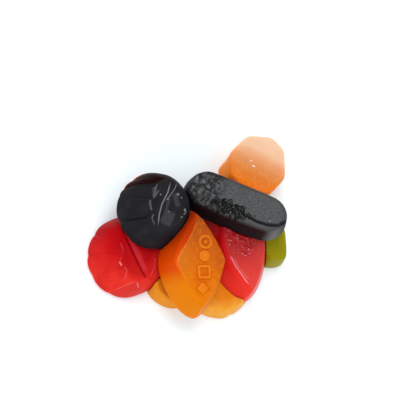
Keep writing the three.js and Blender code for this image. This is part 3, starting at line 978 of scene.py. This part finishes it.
def red_lozenge_finish(colours):
    """A pinkish, pebbled face to the right of two thin ridges, in a red wall; face and wall are painted
    light at the near end and in painted shade at the far end, with painted highlights on the ridges and
    pebble tips.
    """
    skin = Shader("red_gelatine_pebbled")
    pebbled = skin.mask("patch")
    # The face is painted light at its near end and in painted shade at its far end.
    face = skin.layers(
        PEBBLED_NEAR_LIT,
        (skin.y.ramp(-12.0, 6.0), PEBBLED_FAR_SHADE),
        (skin.x.ramp(1.5, 6.0) * 0.6, PEBBLED_RIGHT),
        (pebbled * skin.noise(1.5, 4, 0.7).ramp(0.42, 0.62) * 0.75, PEBBLED_PIT))
    right_of_ridges = (skin.x + 5.0 - skin.y.ramp(0.0, -11.5) * 5.0).ramp(-0.3, 0.3)
    base = skin.layers(
        # The wall is painted light at its near end and in painted shade at its far end.
        colours.red_light,
        (skin.y.ramp(-12.0, 2.0), colours.red),
        (skin.y.ramp(-1.0, 9.0) * 0.1, colours.red_shade_and_mottle),
        (skin.mask("inward").ramp(0.75, 0.98) * right_of_ridges, face),
        (skin.mask("line").ramp(0.25, 0.95) * 0.7, PEBBLED_LINE_HIGHLIGHT))
    grain = skin.noise(1.4, 3) * 0.6 + pebbled * skin.noise(2.2, 4, 0.7) * 2
    return skin.gelatine(base, 0.3, grain, 0.06, coat=pebbled * 0.2)


def pale_finish(colours):
    """Pale orange, with a whitish bloom, partly painted sheen, on its far side and deeper orange on its
    near side.
    """
    skin = Shader("pale_orange_gelatine")
    far = skin.along(70.0)
    top = skin.mask("inward").ramp(0.6, 1.15)
    off_middle = 1 - skin.near(-0.8, 0.6, 5.5)
    base = skin.layers(
        colours.pale_deep,
        (top, colours.pale),
        # Whitish bloom, partly painted sheen, over the far side and the far wall.
        (far.ramp(-4.0, 8.5) * 0.75, colours.bloom_and_sheen),
        (off_middle * far.ramp(0.5, 5.0) * 0.5, colours.bloom_and_sheen),
        (far.ramp(-1.5, -6.0) * 0.75, colours.pale_deep),
        (far.ramp(-5.1, -5.7) * 0.6, PALE_STRIP),
        ((1 - top) * far.ramp(-2.0, 6.0) * 0.4, colours.bloom_and_sheen),
        (skin.noise(0.9, 5, 0.6).ramp(0.42, 0.72) * 0.2, PALE_MOTTLE),
        (skin.mask("line").ramp(0.3, 0.8), PALE_GLINT))
    return skin.gelatine(base, 0.32, skin.noise(1.2, 4, 0.55), 0.04, spread=0.7)


def low_finish(name, rim, inside, height):
    """One colour at the rim, another inside it and at the foot."""
    skin = Shader(name)
    base = skin.layers(
        rim,
        (skin.mask("inward").ramp(0.95, 1.4) * 0.85, inside),
        (skin.noise(0.6, 3).ramp(0.4, 0.7) * 0.3, inside),
        ((1 - (skin.z / height).ramp(0.0, 0.5)) * 0.3, inside))
    return skin.gelatine(base, 0.36, skin.noise(1.3, 4, 0.5), 0.05)


# --------------------------------------------------------------- operators


class WINEGUMS_OT_crowns(Operator):
    """Pours the black and the red crown-shaped gums"""

    bl_idname = "winegums.crowns"
    bl_label = "Crowns"

    def execute(self, context):
        gums = context.scene.wine_gums
        pour("black_crown", gums.sizes, black_crown_finish(gums.colours))
        pour("red_crown", gums.sizes, red_crown_finish(gums.colours))
        return {"FINISHED"}


class WINEGUMS_OT_bar(Operator):
    """Pours the black oblong bar"""

    bl_idname = "winegums.bar"
    bl_label = "Bar"

    def execute(self, context):
        gums = context.scene.wine_gums
        pour("black_bar", gums.sizes, black_bar_finish(gums.colours))
        return {"FINISHED"}


class WINEGUMS_OT_lozenges(Operator):
    """Pours the orange and the red lozenge"""

    bl_idname = "winegums.lozenges"
    bl_label = "Lozenges"

    def execute(self, context):
        gums = context.scene.wine_gums
        pour("orange_lozenge", gums.sizes, orange_finish(gums.colours))
        pour("red_lozenge", gums.sizes, red_lozenge_finish(gums.colours))
        return {"FINISHED"}


class WINEGUMS_OT_octagon(Operator):
    """Pours the pale orange octagon"""

    bl_idname = "winegums.octagon"
    bl_label = "Octagon"

    def execute(self, context):
        gums = context.scene.wine_gums
        pour("pale_octagon", gums.sizes, pale_finish(gums.colours))
        return {"FINISHED"}


class WINEGUMS_OT_low_gums(Operator):
    """Pours the green gum and the two flat amber gums"""

    bl_idname = "winegums.low_gums"
    bl_label = "Low gums"

    def execute(self, context):
        gums = context.scene.wine_gums
        colours = gums.colours
        green = low_finish("olive_gelatine", colours.green, colours.green_deep, GREEN_HEIGHT)
        pour("green_gum", gums.sizes, green)
        amber = low_finish("amber_gelatine", colours.amber, colours.amber_deep, AMBER_HEIGHT)
        pour("amber_crown", gums.sizes, amber)
        # The round amber gum gets a darker copy of the amber, as painted shade.
        deeper = low_finish("shaded_amber_gelatine", colours.amber_round, colours.amber_deep, AMBER_HEIGHT)
        pour("amber_round", gums.sizes, deeper)
        return {"FINISHED"}


def lamp(scene, name, place, size, power):
    """A soft round lamp that looks at the heap."""
    light = bpy.data.lights.new(name, "AREA")
    light.shape = "DISK"
    light.size = size
    light.energy = power
    holder = bpy.data.objects.new(name, light)
    holder.location = place
    holder.rotation_mode = "QUATERNION"
    holder.rotation_quaternion = Vector(place).to_track_quat("Z", "Y")
    scene.collection.objects.link(holder)


class WINEGUMS_OT_stage(Operator):
    """Sets the white table, the soft light and the camera"""

    bl_idname = "winegums.stage"
    bl_label = "Stage"

    def execute(self, context):
        scene = context.scene
        stage = scene.wine_gums.stage
        half = TABLE_WIDTH / 2
        corners = [(-half, -half, 0), (half, -half, 0), (half, half, 0), (-half, half, 0)]
        table = bpy.data.meshes.new("table_top")
        table.from_pydata(corners, [], [(0, 1, 2, 3)])
        floor = bpy.data.objects.new("table_top", table)
        scene.collection.objects.link(floor)
        paper = Shader("white_ground")
        ground = paper.node("ShaderNodeTexCoord", output="Object")
        away = paper.node("ShaderNodeVectorMath", {"operation": "LENGTH"}, {0: ground}, output="Value")
        # Painted bluish shade on the ground close to the heap, fading out further away.
        tint = paper.mix(away.ramp(TINT_START * MM, TINT_END * MM), stage.table_near_shade, stage.table)
        paper.feed(paper.surface.inputs["Base Color"], tint)
        paper.feed(paper.surface.inputs["Roughness"], 0.9)
        paper.feed(paper.surface.inputs["Specular IOR Level"], 0.0)
        paper.feed(paper.surface.inputs["Emission Color"], (*stage.table_glow, 1))
        paper.feed(paper.surface.inputs["Emission Strength"], stage.glow_strength)
        table.materials.append(paper.material)

        lamp(scene, "window", WINDOW, WINDOW_SIZE, stage.lamp_power)
        lamp(scene, "reflector", REFLECTOR, REFLECTOR_SIZE, stage.fill_power)

        world = bpy.data.worlds.new("room")
        world.use_nodes = True
        background = world.node_tree.nodes["Background"]
        background.inputs["Color"].default_value = (*stage.room_tint, 1)
        background.inputs["Strength"].default_value = stage.room_light
        scene.world = world
        scene.view_settings.view_transform = "Standard"

        lens = bpy.data.cameras.new("camera")
        lens.lens, lens.sensor_width = CAMERA_LENS, SENSOR
        lens.clip_start, lens.clip_end = 0.01, 10
        camera = bpy.data.objects.new("camera", lens)
        azimuth, elevation = math.radians(CAMERA_AZIMUTH), math.radians(CAMERA_ELEVATION)
        back = Vector((math.sin(azimuth) * math.cos(elevation), -math.cos(azimuth) * math.cos(elevation),
                       math.sin(elevation)))
        camera.location = (Vector(CAMERA_TARGET) + back * CAMERA_DISTANCE) * MM
        camera.rotation_mode = "QUATERNION"
        camera.rotation_quaternion = (back.to_track_quat("Z", "Y")
                                      @ Quaternion((0, 0, 1), math.radians(CAMERA_ROLL)))
        scene.collection.objects.link(camera)
        scene.camera = camera
        return {"FINISHED"}


class WINEGUMS_PT_panel(Panel):
    bl_label = "Wine gums"
    bl_idname = "WINEGUMS_PT_panel"
    bl_space_type = "VIEW_3D"
    bl_region_type = "UI"
    bl_category = "Wine gums"

    def draw(self, context):
        settings = context.scene.wine_gums
        for operator in OPERATORS:
            self.layout.operator(operator.bl_idname)
        for group in (settings.sizes, settings.colours, settings.stage):
            box = self.layout.box()
            for name in group.__annotations__:
                box.prop(group, name)


OPERATORS = (WINEGUMS_OT_crowns, WINEGUMS_OT_bar, WINEGUMS_OT_lozenges, WINEGUMS_OT_octagon,
             WINEGUMS_OT_low_gums, WINEGUMS_OT_stage)
CLASSES = (GumSizes, GumColours, StageSettings, WineGumSettings, *OPERATORS, WINEGUMS_PT_panel)


def register():
    for cls in CLASSES:
        bpy.utils.register_class(cls)
    bpy.types.Scene.wine_gums = PointerProperty(type=WineGumSettings)


def unregister():
    del bpy.types.Scene.wine_gums
    for cls in reversed(CLASSES):
        bpy.utils.unregister_class(cls)


def main():
    register()
    bpy.ops.winegums.crowns()
    bpy.ops.winegums.bar()
    bpy.ops.winegums.lozenges()
    bpy.ops.winegums.octagon()
    bpy.ops.winegums.low_gums()
    bpy.ops.winegums.stage()


if __name__ == "__main__":
    main()
